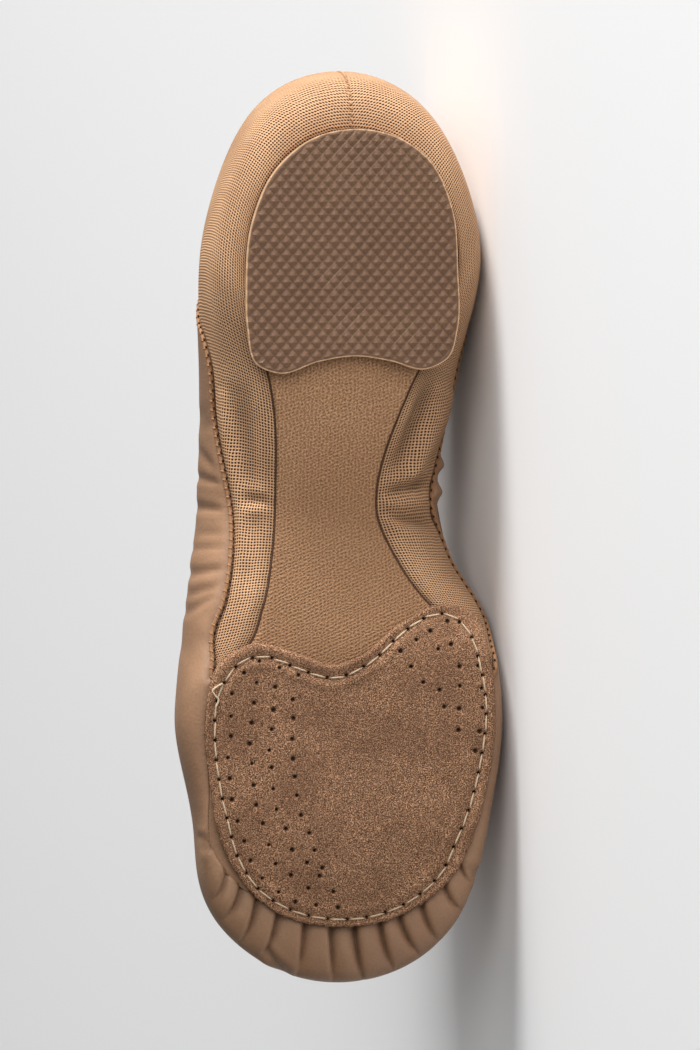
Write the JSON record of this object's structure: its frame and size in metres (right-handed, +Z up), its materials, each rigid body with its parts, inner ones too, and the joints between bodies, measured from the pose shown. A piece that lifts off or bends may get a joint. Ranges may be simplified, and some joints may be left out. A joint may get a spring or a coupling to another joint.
{
  "type": "jazz shoe",
  "caption": "Soft slip-on left jazz dance shoe with a pleated leather vamp, mesh heel and arch, suede forefoot pad and rubber heel pad, lying on its side.",
  "frame": {"origin": "below the middle of the shoe's bounding box, on the floor", "axes": "+X from toe to heel, +Y from the sole up through the shoe to the collar, +Z up from the floor to the lateral side; the shoe lies on its medial side"},
  "size_m": [0.245, 0.0684, 0.0871],
  "materials": {
    "tan_leather": "soft tan leather, with tan open mesh round the heel and arch",
    "tan_canvas": "matt ribbed canvas",
    "pale_lining": "matt cotton lining",
    "brown_suede": "matt suede nap",
    "brown_rubber": "matt rubber with a small diamond tread"
  },
  "bodies": {
    "root": {"upper": "tan_leather", "sole_sock": "tan_canvas", "insole": "pale_lining", "forefoot_pad": "brown_suede", "heel_pad": "brown_rubber"}
  },
  "joints": []
}
